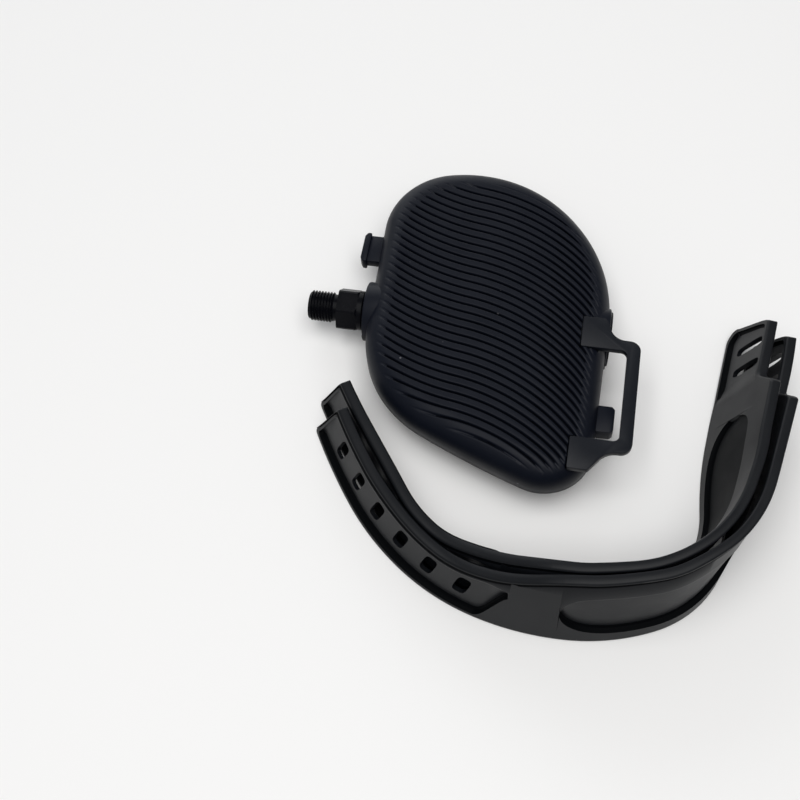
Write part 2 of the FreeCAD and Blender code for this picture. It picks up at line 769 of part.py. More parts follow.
def make_strap(path):
    """One strap: holed end, channel, outer panel, inner oval and slotted tab."""
    cuts = []
    top = strap_height(0)
    cuts.append(strap_prism(path, 0, [
        (end_low + strap_t, -strap_t, 0), (0, end_low, end_low_r), (0, top - end_high, end_high_r),
        (end_high + strap_t, top + strap_t, 0), (-strap_far, top + strap_t, 0), (-strap_far, -strap_t, 0),
    ], -strap_far, strap_far))

    channel = [(s, channel_low, strap_height(s) - bead_h - channel_below_bead, recess_deep, recess_shallow)
               for s in steps(channel_start, channel_end, strap_step)]
    full = channel[-1][2]
    for k in range(1, channel_tip_steps + 1):
        t = k / channel_tip_steps
        channel.append((channel_end + (channel_tip - channel_end) * t,
                        channel_low + (channel_tip_low - channel_low) * t,
                        full + (channel_tip_high - full) * t, recess_deep, recess_shallow))
    cuts.append(face_cut(path, 1, channel))

    for k in range(hole_count):
        s = hole_first + k * hole_step
        v = strap_height(s) / 2 + hole_climb * s
        lozenge = [
            (-hole_len / 2 - hole_lean, v - hole_w / 2, hole_corner),
            (hole_len / 2 - hole_lean, v - hole_w / 2, hole_corner),
            (hole_len / 2 + hole_lean, v + hole_w / 2, hole_corner),
            (-hole_len / 2 + hole_lean, v + hole_w / 2, hole_corner),
        ]
        cuts.append(strap_prism(path, s, lozenge, -strap_far, strap_far))

    cuts.append(face_cut(path, 1, oval(panel_mid, panel_half, panel_low, panel_high)))
    cuts.append(face_cut(path, -1, oval(oval_mid, oval_half, oval_low, oval_high)))

    mid = (neck_s + strap_len) / 2
    end_u = strap_len - mid
    neck_u = neck_s - mid
    shoulder_u = shoulder_s - mid
    high = strap_height(shoulder_s)
    past = strap_far + end_u
    cuts.append(strap_prism(path, mid, [
        (shoulder_u, high + strap_far, 0), (shoulder_u, high, shoulder_r), (neck_u, tab_high, neck_r),
        (end_u, tab_high, tab_corner), (end_u, tab_low, tab_corner), (neck_u, tab_low, strap_far),
        (neck_u - tab_taper, 0, 0), (neck_u - tab_taper, -strap_far, 0), (past, -strap_far, 0),
        (past, high + strap_far, 0),
    ], -strap_far, strap_far))

    pocket_low = tab_low + tab_rim
    pocket_high = tab_high - tab_rim
    pocket_r = tab_corner - tab_rim
    floor = [(pocket_s, 0, 0), (pocket_s + pocket_ramp, pocket_deep, pocket_shallow),
             (strap_len + 1, pocket_deep, pocket_shallow)]
    floor = face_cut(path, -1, [(s, tab_low, tab_high, a, b) for s, a, b in floor], True)
    pocket = strap_prism(path, mid, [
        (pocket_s - mid, pocket_low, tab_rim), (end_u - tab_rim, pocket_low, pocket_r),
        (end_u - tab_rim, pocket_high, pocket_r), (pocket_s - mid, pocket_high, tab_rim),
    ], -strap_far, 0)
    cuts.append(pocket.common(floor))
    slot_mid = (pocket_low + pocket_high) / 2
    for k in range(2):
        u = slot_s - k * tab_slot_step - mid
        cuts.append(strap_prism(path, mid, [
            (u - tab_slot_w / 2, slot_mid - slot_len / 2, tab_slot_corner),
            (u + tab_slot_w / 2, slot_mid - slot_len / 2, tab_slot_corner),
            (u + tab_slot_w / 2, slot_mid + slot_len / 2, tab_slot_corner),
            (u - tab_slot_w / 2, slot_mid + slot_len / 2, tab_slot_corner),
        ], -strap_far, strap_far))
    return one(strap_body(path).cut(cuts))


outer_path = (outer_strap_x, outer_strap_y, outer_strap_heading, outer_strap_runs, outer_strap_leans)
inner_path = (inner_strap_x, inner_strap_y, inner_strap_heading, inner_strap_runs, inner_strap_leans)
save("outer_strap", make_strap(outer_path))
save("inner_strap", make_strap(inner_path))
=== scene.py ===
# %% [markdown]
# # Exercise bike pedal with two straps
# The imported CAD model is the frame: every piece below sits where the solids already are, in metres.
# The origin is on the spindle's axis where the crank stops, +X runs outwards, +Y to the toe, +Z up.
# Shapes are drawn in millimetres and scaled once, when a piece is finished.

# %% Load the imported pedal
import math
import bmesh
import bpy
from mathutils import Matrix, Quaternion, Vector


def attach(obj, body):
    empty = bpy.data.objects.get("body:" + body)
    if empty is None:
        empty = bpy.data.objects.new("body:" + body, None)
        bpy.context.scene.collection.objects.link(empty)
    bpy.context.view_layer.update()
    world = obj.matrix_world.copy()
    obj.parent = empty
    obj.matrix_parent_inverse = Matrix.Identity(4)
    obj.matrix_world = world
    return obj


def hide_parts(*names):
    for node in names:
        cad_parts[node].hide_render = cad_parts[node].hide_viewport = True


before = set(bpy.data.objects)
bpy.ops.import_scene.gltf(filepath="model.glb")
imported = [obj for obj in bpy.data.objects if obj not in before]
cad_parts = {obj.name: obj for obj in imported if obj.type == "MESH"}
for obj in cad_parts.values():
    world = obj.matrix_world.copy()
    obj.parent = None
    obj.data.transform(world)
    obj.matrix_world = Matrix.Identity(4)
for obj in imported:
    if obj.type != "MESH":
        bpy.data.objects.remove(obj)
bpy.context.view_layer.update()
MM = 0.001
print("CAD nodes:", len(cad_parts))

# %% [markdown]
# ## Camera
# The photograph looks down on the tread from the near side, about 60 degrees above the table.
# A camera placed by angles is easy to read: aim along azimuth and elevation, then roll about the
# line of sight.

# %% Camera
camera_place = Vector((95.3, -271.4, 418.8)) * MM
camera_azimuth = math.radians(-15.13)
camera_elevation = math.radians(60.23)
camera_roll = math.radians(-6.03)
photo_width = 800
focal_pixels = 1204

sight = Vector((math.sin(camera_azimuth) * math.cos(camera_elevation),
                math.cos(camera_azimuth) * math.cos(camera_elevation),
                -math.sin(camera_elevation)))
camera_data = bpy.data.cameras.new("photo_camera")
camera_data.sensor_width = 36.0
camera_data.lens = camera_data.sensor_width * focal_pixels / photo_width
camera = bpy.data.objects.new("photo_camera", camera_data)
camera.location = camera_place
camera.rotation_mode = "QUATERNION"
camera.rotation_quaternion = sight.to_track_quat("-Z", "Y") @ Quaternion((0, 0, 1), camera_roll)
bpy.context.scene.collection.objects.link(camera)
bpy.context.scene.camera = camera
print("lens %.1f mm" % camera_data.lens)

# %% [markdown]
# ## Table and light
# The pedal lies on a pale table in even light. One wide soft lamp hangs overhead, a weaker one stands
# at the upper left behind the toe like a window, and the world fills in from all round. The table is
# a plane just under the object, pale but not pure white, so that shadows still read on it.

# %% Table
table_z = -13.0
table_gap = 0.02
table_half = 4000


def new_material(name):
    """A material with only a Principled shader, and that shader."""
    material = bpy.data.materials.new(name)
    material.use_nodes = True
    return material, material.node_tree.nodes["Principled BSDF"]


def new_object(mesh, name):
    """Turn a bmesh in millimetres into an object at the origin."""
    bmesh.ops.scale(mesh, verts=mesh.verts[:], vec=(MM, MM, MM))
    data = bpy.data.meshes.new(name)
    mesh.to_mesh(data)
    mesh.free()
    piece = bpy.data.objects.new(name, data)
    bpy.context.scene.collection.objects.link(piece)
    return piece


plane = bmesh.new()
bmesh.ops.create_grid(plane, x_segments=1, y_segments=1, size=table_half)
bmesh.ops.translate(plane, verts=plane.verts[:], vec=(0, 0, table_z - table_gap))
table = new_object(plane, "table")
table_paint, shader = new_material("table_paint")
shader.inputs["Base Color"].default_value = (0.87, 0.865, 0.86, 1)
shader.inputs["Roughness"].default_value = 0.6
shader.inputs["Specular IOR Level"].default_value = 0.2
table.data.materials.append(table_paint)
print("table top at %.2f mm" % (table_z - table_gap))

# %% Lamps
def soft_lamp(name, place, aim, size, watts, colour):
    """A square area lamp at a place in metres, turned to face a point."""
    data = bpy.data.lights.new(name, "AREA")
    data.size = size
    data.energy = watts
    data.color = colour
    lamp = bpy.data.objects.new(name, data)
    lamp.location = place
    lamp.rotation_mode = "QUATERNION"
    lamp.rotation_quaternion = (Vector(aim) - Vector(place)).to_track_quat("-Z", "Y")
    bpy.context.scene.collection.objects.link(lamp)


soft_lamp("overhead", (0.15, -0.35, 1.5), (0.08, -0.03, 0), 1.5, 21.6, (1.0, 0.995, 0.985))
soft_lamp("window", (-0.8, 1.8, 0.7), (0.06, 0, 0), 1.7, 15, (0.95, 0.97, 1.0))
world = bpy.data.worlds.new("room_light")
world.use_nodes = True
world.node_tree.nodes["Background"].inputs["Color"].default_value = (0.97, 0.985, 1.0, 1)
world.node_tree.nodes["Background"].inputs["Strength"].default_value = 0.30
bpy.context.scene.world = world
bpy.context.scene.view_settings.view_transform = "Standard"

# %% [markdown]
# ## Finishes
# Everything in view is black, so the finishes differ in gloss and grain: satin nylon on the mouldings,
# smoother rubbery plastic on the straps, blackened steel on the spindle. Moulded plastic is never
# quite even, so one shared node group gives a fine grain, slow cloudy variation and a few dust
# specks; each material mixes them in its own measure. The narrow grooves and coves, and a few lines on
# the straps, get painted shade: darker finishes with hardly any gloss that stand for the shade in them.

# %% Shared grain group
def link(tree, source, out_name, target, in_name):
    """Join an output to an input by their names."""
    tree.links.new(source.outputs[out_name], target.inputs[in_name])


grain = bpy.data.node_groups.new("moulded_grain", "ShaderNodeTree")
grain.interface.new_socket("Grain Scale", in_out="INPUT", socket_type="NodeSocketFloat")
grain.interface.new_socket("Cloud Scale", in_out="INPUT", socket_type="NodeSocketFloat")
grain.interface.new_socket("Height", in_out="OUTPUT", socket_type="NodeSocketFloat")
grain.interface.new_socket("Cloud", in_out="OUTPUT", socket_type="NodeSocketFloat")
grain.interface.new_socket("Speck", in_out="OUTPUT", socket_type="NodeSocketFloat")
group_in = grain.nodes.new("NodeGroupInput")
group_out = grain.nodes.new("NodeGroupOutput")
place = grain.nodes.new("ShaderNodeTexCoord")
fine = grain.nodes.new("ShaderNodeTexNoise")
fine.inputs["Detail"].default_value = 3.0
cloud = grain.nodes.new("ShaderNodeTexNoise")
cloud.inputs["Detail"].default_value = 4.0
cloud.inputs["Roughness"].default_value = 0.6
dust = grain.nodes.new("ShaderNodeTexVoronoi")
dust.inputs["Scale"].default_value = 60.0
speck = grain.nodes.new("ShaderNodeMapRange")
speck.inputs["From Min"].default_value = 0.030
speck.inputs["From Max"].default_value = 0.018
for node in (fine, cloud, dust):
    link(grain, place, "Object", node, "Vector")
link(grain, group_in, "Grain Scale", fine, "Scale")
link(grain, group_in, "Cloud Scale", cloud, "Scale")
link(grain, dust, "Distance", speck, "Value")
link(grain, fine, "Fac", group_out, "Height")
link(grain, cloud, "Fac", group_out, "Cloud")
link(grain, speck, "Result", group_out, "Speck")
print("grain group sockets:", [s.name for s in grain.interface.items_tree])

# %% Recipe for a black finish
# A Mix node in colour mode has its colours and its result at these places
mix_first, mix_second, mix_result = 6, 7, 2
grain_height = 0.0002


def black_finish(name, dark, light, rough, gloss, grain_scale, cloud_scale, bump, dusty):
    """Black material whose tone, roughness and height vary with the shared grain."""
    material, shader = new_material(name)
    tree = material.node_tree
    texture = tree.nodes.new("ShaderNodeGroup")
    texture.node_tree = grain
    texture.inputs["Grain Scale"].default_value = grain_scale
    texture.inputs["Cloud Scale"].default_value = cloud_scale
    tone = tree.nodes.new("ShaderNodeMix")
    tone.data_type = "RGBA"
    tone.inputs[mix_first].default_value = dark + (1,)
    tone.inputs[mix_second].default_value = light + (1,)
    dusted = tree.nodes.new("ShaderNodeMix")
    dusted.data_type = "RGBA"
    dusted.inputs[mix_second].default_value = dusty + (1,)
    spread = tree.nodes.new("ShaderNodeMapRange")
    spread.inputs["From Min"].default_value = 0.3
    spread.inputs["From Max"].default_value = 0.7
    spread.inputs["To Min"].default_value = rough[0]
    spread.inputs["To Max"].default_value = rough[1]
    relief = tree.nodes.new("ShaderNodeBump")
    relief.inputs["Strength"].default_value = bump
    relief.inputs["Distance"].default_value = grain_height
    link(tree, texture, "Cloud", tone, "Factor")
    tree.links.new(tone.outputs[mix_result], dusted.inputs[mix_first])
    link(tree, texture, "Speck", dusted, "Factor")
    tree.links.new(dusted.outputs[mix_result], shader.inputs["Base Color"])
    link(tree, texture, "Cloud", spread, "Value")
    link(tree, spread, "Result", shader, "Roughness")
    link(tree, texture, "Height", relief, "Height")
    link(tree, relief, "Normal", shader, "Normal")
    shader.inputs["Specular IOR Level"].default_value = gloss
    print("finish:", name)
    return material


# %% Plastic, rubber and steel
tread_plastic = black_finish("tread_plastic", (0.0026, 0.0038, 0.0080), (0.0044, 0.0060, 0.0115),
                             (0.38, 0.50), 0.14, 2600, 60, 0.10, (0.09, 0.09, 0.10))
shell_plastic = black_finish("shell_plastic", (0.0026, 0.0036, 0.0066), (0.0042, 0.0054, 0.0092),
                             (0.42, 0.54), 0.14, 2200, 50, 0.12, (0.10, 0.10, 0.11))
bracket_plastic = black_finish("bracket_plastic", (0.0042, 0.0054, 0.0086), (0.0062, 0.0076, 0.0112),
                               (0.34, 0.44), 0.18, 2600, 70, 0.08, (0.08, 0.08, 0.09))
strap_rubber = black_finish("strap_rubber", (0.0040, 0.0048, 0.0064), (0.0066, 0.0074, 0.0092),
                            (0.34, 0.46), 0.18, 1800, 40, 0.10, (0.08, 0.08, 0.09))
# Painted shade: a darker, almost glossless copy of the tread finish for the faces deep in the grooves
groove_painted_shade = black_finish("groove_painted_shade", (0.0008, 0.0012, 0.0026), (0.0014, 0.0020, 0.0038),
                            (0.55, 0.68), 0.03, 2600, 60, 0.10, (0.02, 0.02, 0.02))
# Painted shade: a darker, almost glossless copy of the strap finish for coves and dark lines
strap_painted_shade = black_finish("strap_painted_shade", (0.0010, 0.0013, 0.0018), (0.0018, 0.0022, 0.0028),
                           (0.55, 0.68), 0.03, 1800, 40, 0.10, (0.02, 0.02, 0.02))
strap_matte = black_finish("strap_matte", (0.0028, 0.0034, 0.0042), (0.0042, 0.0048, 0.0058),
                           (0.50, 0.62), 0.065, 1800, 40, 0.18, (0.05, 0.05, 0.05))
black_steel = black_finish("black_steel", (0.0020, 0.0022, 0.0034), (0.0044, 0.0046, 0.0064),
                           (0.22, 0.34), 0.06, 3200, 160, 0.06, (0.03, 0.03, 0.04))
print("materials:", len(bpy.data.materials))

# %% [markdown]
# ## Tread cover
# The cover is one thin moulding: a flat top with wavy grooves, rolled over into the side walls. Its
# CAD solid has square grooves; the real ridges are softly rounded and the grooves fade out before
# the rim. A grid whose rows follow the grooves carries that shape well, because every ridge then has
# the same few rows of faces. The grid is trimmed to the outline and its edge is extruded into the rim.

# %% Rounds of the outline
def unit(degrees):
    """Direction in plan."""
    return Vector((math.cos(math.radians(degrees)), math.sin(math.radians(degrees))))


toe, toe_r = Vector((49.7, 15.6)), 56.5
toe_inner_r, toe_inner_join = 31.1, unit(103.4)
toe_outer_r, toe_outer_join = 70.3, unit(52.6)
toe_inner = toe + toe_inner_join * (toe_r - toe_inner_r)
toe_outer = toe + toe_outer_join * (toe_r - toe_outer_r)
heel_inner, heel_inner_r = Vector((64.4, -9.4)), 50.3
heel_outer, heel_outer_r = Vector((91.5, -53.6)), 19.4
heel_bow_r = 378.0


def side_normal(c1, r1, c2, r2):
    """Outward normal of the straight side that touches two rounds, walked anticlockwise."""
    step = c2 - c1
    ahead = step.normalized()
    lean = (r1 - r2) / step.length
    return ahead * lean + Vector((ahead.y, -ahead.x)) * math.sqrt(1 - lean * lean)


def bow_centre():
    """Centre of the bowed heel side, which touches both heel rounds from outside."""
    a = heel_bow_r - heel_inner_r
    b = heel_bow_r - heel_outer_r
    step = heel_outer - heel_inner
    ahead = step.normalized()
    t = (a * a - b * b + step.length_squared) / (2 * step.length)
    return heel_inner + ahead * t + Vector((-ahead.y, ahead.x)) * math.sqrt(a * a - t * t)


bow = bow_centre()
n_inner = side_normal(toe_inner, toe_inner_r, heel_inner, heel_inner_r)
n_outer = side_normal(heel_outer, heel_outer_r, toe_outer, toe_outer_r)
n_bow_inner = (heel_inner - bow).normalized()
n_bow_outer = (heel_outer - bow).normalized()
rounds = [(toe_outer, toe_outer_r, n_outer, toe_outer_join),
          (toe, toe_r, toe_outer_join, toe_inner_join),
          (toe_inner, toe_inner_r, toe_inner_join, n_inner),
          (heel_inner, heel_inner_r, n_inner, n_bow_inner),
          (bow, heel_bow_r, n_bow_inner, n_bow_outer),
          (heel_outer, heel_outer_r, n_bow_outer, n_outer)]
print("rounds in the outline:", len(rounds))

# %% Measure from the outline
least_side = 0.1
rim_step = 4.0


def from_edge(x, y):
    """Distance inwards from the body's outline, and the outward normal there."""
    p = Vector((x, y))
    found = []
    for i, (centre, r, n0, n1) in enumerate(rounds):
        out = p - centre
        if n0.cross(out) >= 0 and out.cross(n1) >= 0:
            found.append((r - out.length, out.normalized()))
        after = rounds[(i + 1) % len(rounds)]
        start = centre + n1 * r
        side = after[0] + n1 * after[1] - start
        if side.length > least_side and 0 <= (p - start).dot(side) <= side.length_squared:
            found.append(((start - p).dot(n1), n1))
    return min(found, key=lambda pair: pair[0])


def outline_points(inset):
    """Points round the outline, moved inwards."""
    points = []
    for centre, r, n0, n1 in rounds:
        turn = n0.angle(n1)
        count = max(2, math.ceil(turn * (r - inset) / rim_step))
        for k in range(count + 1):
            a = turn * k / count
            n = Vector((n0.x * math.cos(a) - n0.y * math.sin(a),
                        n0.x * math.sin(a) + n0.y * math.cos(a)))
            points.append(centre + n * (r - inset))
    return points


print("outline points:", len(outline_points(0)))

# %% Groove line
groove_pitch = 3.75
groove_first_y = 67.4
groove_mid_x = 54.0
groove_tilt = math.radians(8.3)
groove_left_r, groove_right_r = 87.0, 80.0


def groove_line(x):
    """Y of a groove at x, from where it crosses the middle line, and its slope."""
    if x < groove_mid_x:
        off = x - groove_mid_x - groove_left_r * math.sin(groove_tilt)
        fall = math.sqrt(groove_left_r ** 2 - off ** 2)
        return groove_left_r * math.cos(groove_tilt) - fall, off / fall
    off = x - groove_mid_x + groove_right_r * math.sin(groove_tilt)
    rise = math.sqrt(groove_right_r ** 2 - off ** 2)
    return rise - groove_right_r * math.cos(groove_tilt), -off / rise


print("groove slope at the middle: %.3f" % groove_line(groove_mid_x)[1])

# %% Groove section and rolled rim
tread_h = 14.0
rim_r = 10.0
groove_depth = 1.3
groove_flat = 0.20
groove_edge = 0.66
field_inset, field_fade = 3.2, 4.0
# The grooved field lies inside the outline and inside copies of it that are moved by these steps
field_shifts = [(0.0, 0.0), (3.6, -5.6), (-1.8, 0.0)]


def smooth_step(a, b, t):
    """0 before a, 1 after b, eased between."""
    t = min(1.0, max(0.0, (t - a) / (b - a)))
    return t * t * (3 - 2 * t)


def groove_sunk(x, y):
    """How far a groove is cut at a point, from 0 to 1. The grooved field is set off from the rim."""
    field = min(from_edge(x - dx, y - dy)[0] for dx, dy in field_shifts)
    fade = smooth_step(field_inset, field_inset + field_fade, field)
    line, slope = groove_line(x)
    off = (y - line - groove_first_y) / groove_pitch
    away = abs(off - round(off)) * groove_pitch / math.sqrt(1 + slope * slope)
    return fade * (1 - smooth_step(groove_flat, groove_edge, away))


def tread_height(x, y):
    """Height of the moulding's top: flat, rolled over at the rim, less the groove."""
    inset = from_edge(x, y)[0]
    drop = 0.0
    if inset < rim_r:
        drop = rim_r - math.sqrt(max(0.0, rim_r ** 2 - (rim_r - inset) ** 2))
    return tread_h - drop - groove_depth * groove_sunk(x, y)


print("height over the toe's centre: %.2f mm" % tread_height(toe.x, toe.y))

# %% Grid along the grooves
ridge_rows = [0.0, 0.20, 0.32, 0.43, 0.54, 0.68, 1.0, 1.875, 2.75, 3.07, 3.21, 3.32, 3.43, 3.55]
first_ridge, last_ridge = -35, 3
grid_columns = 58
grid_x0, grid_x1 = 11.0, 112.5

cover = bmesh.new()
row_count = len(ridge_rows) * (last_ridge - first_ridge)
bmesh.ops.create_grid(cover, x_segments=grid_columns, y_segments=row_count, size=0.5)
for v in cover.verts:
    row = round((v.co.y + 0.5) * row_count)
    ridge, part = divmod(row, len(ridge_rows))
    x = grid_x0 + (grid_x1 - grid_x0) * (v.co.x + 0.5)
    y = groove_first_y + groove_line(x)[0] + (first_ridge + ridge) * groove_pitch + ridge_rows[part]
    v.co = (x, y, 0)
print("grid faces:", len(cover.faces))

# %% Trim the grid to the outline
trim_inset, trim_margin = 3.0, 6.0
far_out = [v for v in cover.verts if from_edge(v.co.x, v.co.y)[0] < trim_inset - trim_margin]
bmesh.ops.delete(cover, geom=far_out, context="VERTS")
rim_points = outline_points(trim_inset)
for i, start in enumerate(rim_points):
    side = rim_points[(i + 1) % len(rim_points)] - start
    if side.length > least_side:
        bmesh.ops.bisect_plane(cover, geom=cover.verts[:] + cover.edges[:] + cover.faces[:], dist=1e-5,
                               plane_co=start.to_3d(), plane_no=(side.y, -side.x, 0), clear_outer=True)
print("trimmed faces:", len(cover.faces))

# %% Raise the tread
painted_shade_from = 0.6
for v in cover.verts:
    v.co.z = tread_height(v.co.x, v.co.y)
# Faces well inside a groove take the second finish, painted shade that darkens the real groove
for face in cover.faces:
    c = face.calc_center_median()
    face.material_index = 1 if groove_sunk(c.x, c.y) > painted_shade_from else 0
print("faces in grooves:", sum(face.material_index for face in cover.faces))

# %% Roll the rim and draw down the wall
rim_steps = [2.1, 1.3, 0.7, 0.3, 0.08, 0.0]
wall_steps = [(0.0, 0.3), (0.25, 0.0), (2.6, 0.0)]
rolled = [(inset, tread_h - rim_r + math.sqrt(rim_r ** 2 - (rim_r - inset) ** 2)) for inset in rim_steps]
for inset, z in rolled + wall_steps:
    edge = [e for e in cover.edges if e.is_boundary]
    made = bmesh.ops.extrude_edge_only(cover, edges=edge)
    for v in made["geom"]:
        if isinstance(v, bmesh.types.BMVert):
            here, n = from_edge(v.co.x, v.co.y)
            v.co = (v.co.x + n.x * (here - inset), v.co.y + n.y * (here - inset), z)
print("cover faces:", len(cover.faces))

# %% Straight sides of the body
def outer_side(y):
    """X of the straight outer side at y."""
    p = heel_outer + n_outer * heel_outer_r
    return p.x + (p.y - y) * n_outer.y / n_outer.x


def inner_side(y):
    """X of the straight inner side at y."""
    p = heel_inner + n_inner * heel_inner_r
    return p.x + (p.y - y) * n_inner.y / n_inner.x


print("width at the axle: %.1f mm" % (outer_side(0) - inner_side(0)))

# %% Pockets for the strap bracket's pads
plate_z = 11.4
pocket_floor = plate_z - 0.2
pocket_gap = 0.35
pad_reach = 10.4
toe_pad, heel_pad = (-13.3, 0.7), (-67.3, -53.9)
pad_x = outer_side(0) - pad_reach - pocket_gap
pads = [(low - pocket_gap, high + pocket_gap) for low, high in (toe_pad, heel_pad)]
top_from, pocket_rim_from = plate_z - 0.1, plate_z - 1.5


def score(mesh, place, normal):
    """Add a line of edges where a plane crosses the mesh."""
    bmesh.ops.bisect_plane(mesh, geom=mesh.verts[:] + mesh.edges[:] + mesh.faces[:], dist=1e-5,
                           plane_co=place, plane_no=normal)


score(cover, (pad_x, 0, 0), (1, 0, 0))
for pad in pads:
    for y in pad:
        score(cover, (0, y, 0), (0, 1, 0))
under_pads = []
for face in cover.faces:
    c = face.calc_center_median()
    if c.x > pad_x and c.z > top_from and any(low < c.y < high for low, high in pads):
        under_pads.append(face)
bmesh.ops.delete(cover, geom=under_pads, context="FACES")
pocket_edge = [e for e in cover.edges if e.is_boundary and min(v.co.z for v in e.verts) > pocket_rim_from]
made = bmesh.ops.extrude_edge_only(cover, edges=pocket_edge)
for v in made["geom"]:
    if isinstance(v, bmesh.types.BMVert):
        v.co.z = pocket_floor
print("pocket edges:", len(pocket_edge))

# %% Holes for the axle
axle_hole_r = 11.4
inside_boss = [f for f in cover.faces if Vector(f.calc_center_median().yz).length < axle_hole_r]
bmesh.ops.delete(cover, geom=inside_boss, context="FACES")
print("faces over the axle:", len(inside_boss))

# %% Finish the cover
def make_piece(mesh, name, body, material, sharp_degrees):
    """Finish a bmesh as a smooth-shaded piece that rides on a body."""
    piece = new_object(mesh, name)
    piece.data.shade_smooth()
    piece.data.set_sharp_from_angle(angle=math.radians(sharp_degrees))
    piece.data.materials.append(material)
    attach(piece, body)
    print(name, "faces:", len(piece.data.polygons))
    return piece


tread_skin = make_piece(cover, "tread_skin", "pedal", tread_plastic, 80)
tread_skin.data.materials.append(groove_painted_shade)
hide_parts("tread_cover")

# %% [markdown]
# ## Axle bosses and strap pegs
# Half of each axle boss and both strap pegs are part of the same moulding. A boss is a turned shape,
# so its section is spun half a turn about the spindle. The pegs are small blocks with eased edges.

# %% Axle bosses
boss_r, bore_r, boss_ease = 12.4, 10.4, 0.6
inner_boss_out, inner_boss_back = 2.1, 14.0
outer_boss_out, outer_boss_back = 0.5, 12.0
boss_x0 = inner_side(0) - inner_boss_out
boss_x1 = outer_side(0) + outer_boss_out
bosses = bmesh.new()
for end, back in ((boss_x0, inner_boss_back), (boss_x1, -outer_boss_back)):
    ease = math.copysign(boss_ease, back)
    section = [(end + back, bore_r), (end + back, boss_r), (end + ease, boss_r),
               (end + 0.3 * ease, boss_r - 0.3 * boss_ease), (end, boss_r - boss_ease), (end, bore_r)]
    points = [bosses.verts.new((x, r, 0)) for x, r in section]
    sides = [bosses.edges.new((points[i - 1], points[i])) for i in range(len(points))]
    bmesh.ops.spin(bosses, geom=points + sides, cent=(0, 0, 0), axis=(1, 0, 0), dvec=(0, 0, 0),
                   angle=math.pi, steps=40, use_merge=False)
bmesh.ops.holes_fill(bosses, edges=[e for e in bosses.edges if e.is_boundary], sides=0)
bmesh.ops.recalc_face_normals(bosses, faces=bosses.faces[:])
make_piece(bosses, "axle_bosses", "pedal", tread_plastic, 40)

# %% Inner peg with its head
def raised_shape(mesh, corners, z0, z1, ease):
    """Prism of a plan outline, with every edge rounded."""
    flat = mesh.faces.new([mesh.verts.new((x, y, z0)) for x, y in corners])
    made = bmesh.ops.extrude_face_region(mesh, geom=[flat], use_keep_orig=True)["geom"]
    tops = [v for v in made if isinstance(v, bmesh.types.BMVert)]
    bmesh.ops.translate(mesh, verts=tops, vec=(0, 0, z1 - z0))
    ring = set()
    for v in tops:
        for e in v.link_edges:
            ring.update(e.verts)
    edges = {e for v in ring for e in v.link_edges}
    bmesh.ops.bevel(mesh, geom=list(edges), offset=ease, offset_type="OFFSET", segments=2, profile=0.5,
                    affect="EDGES", material=-1)


wall = 2.6
peg_w, peg_t, peg_foot, peg_top, peg_ease = 13.3, 4.0, 0.02, 6.0, 0.45
head_reach, head_t, head_w, head_cut = 8.1, 2.8, 14.8, 1.7
neck_sink = 0.6
inner_peg_y = 28.9
inner_wall = inner_side(inner_peg_y)
head_x0 = inner_wall - head_reach
head_x1 = head_x0 + head_t
half_head = head_w / 2
head = [(head_x1, -half_head), (head_x1, half_head), (head_x1 - head_cut, half_head),
        (head_x0, half_head - head_cut), (head_x0, head_cut - half_head), (head_x1 - head_cut, -half_head)]
neck = [(head_x1 - neck_sink, -peg_w / 2), (inner_wall + wall, -peg_w / 2),
        (inner_wall + wall, peg_w / 2), (head_x1 - neck_sink, peg_w / 2)]

pegs = bmesh.new()
raised_shape(pegs, [(x, inner_peg_y + y) for x, y in head], peg_foot, peg_top, peg_ease)
raised_shape(pegs, [(x, inner_peg_y + y) for x, y in neck], (peg_top - peg_t) / 2, (peg_top + peg_t) / 2,
             peg_ease)
print("inner peg faces:", len(pegs.faces))

# %% Outer peg
outer_peg_y, outer_peg_reach, outer_peg_cut = -39.6, 6.4, 1.6
outer_peg_corner, outer_peg_ease = 1.2, 0.5
outer_wall = outer_side(outer_peg_y)
outer_end = outer_wall + outer_peg_reach
corner_x = outer_end - outer_peg_corner
low, high = outer_peg_y - peg_w / 2, outer_peg_y + peg_w / 2 - outer_peg_cut
raised_shape(pegs, [(outer_wall - wall, low), (corner_x, low), (outer_end, low + outer_peg_corner),
                    (outer_end, high - outer_peg_corner), (corner_x, high), (outer_wall - wall, high)],
             peg_foot, peg_top, outer_peg_ease)
bmesh.ops.recalc_face_normals(pegs, faces=pegs.faces[:])
make_piece(pegs, "strap_pegs", "pedal", tread_plastic, 40)

# %% [markdown]
# ## Spindle
# The spindle is one turned steel bar, blackened: a fine screw thread, a short relief groove, a hexagon
# for the spanner and a plain journal. A thread is one ridge section spun along the axis as it turns,
# so that each turn meets the next. The hexagon is a ring of points pulled in by the turning tool's cone.

# %% Screw thread
thread_r, thread_pitch, thread_depth = 6.35, 1.27, 0.74
thread_len, thread_sink = 12.5, 0.3
thread_steps = 48
root_r = thread_r - thread_depth
thread_turns = math.ceil(thread_len / thread_pitch) + 3

thread = bmesh.new()
ridge = [(0.0, root_r), (0.16, root_r), (0.50, thread_r), (0.64, thread_r), (1.0, root_r)]
start_x = -thread_len - 2 * thread_pitch
points = [thread.verts.new((start_x + t * thread_pitch, r, 0)) for t, r in ridge]
sides = [thread.edges.new(pair) for pair in zip(points, points[1:])]
bmesh.ops.spin(thread, geom=points + sides, cent=(0, 0, 0), axis=(1, 0, 0),
               dvec=(thread_pitch / thread_steps, 0, 0), angle=2 * math.pi * thread_turns,
               steps=thread_steps * thread_turns, use_merge=False)
bmesh.ops.remove_doubles(thread, verts=thread.verts[:], dist=0.001)
for x, side in ((-thread_len, -1), (thread_sink, 1)):
    bmesh.ops.bisect_plane(thread, geom=thread.verts[:] + thread.edges[:] + thread.faces[:], dist=1e-5,
                           plane_co=(x, 0, 0), plane_no=(side, 0, 0), clear_outer=True)
print("thread faces:", len(thread.faces))

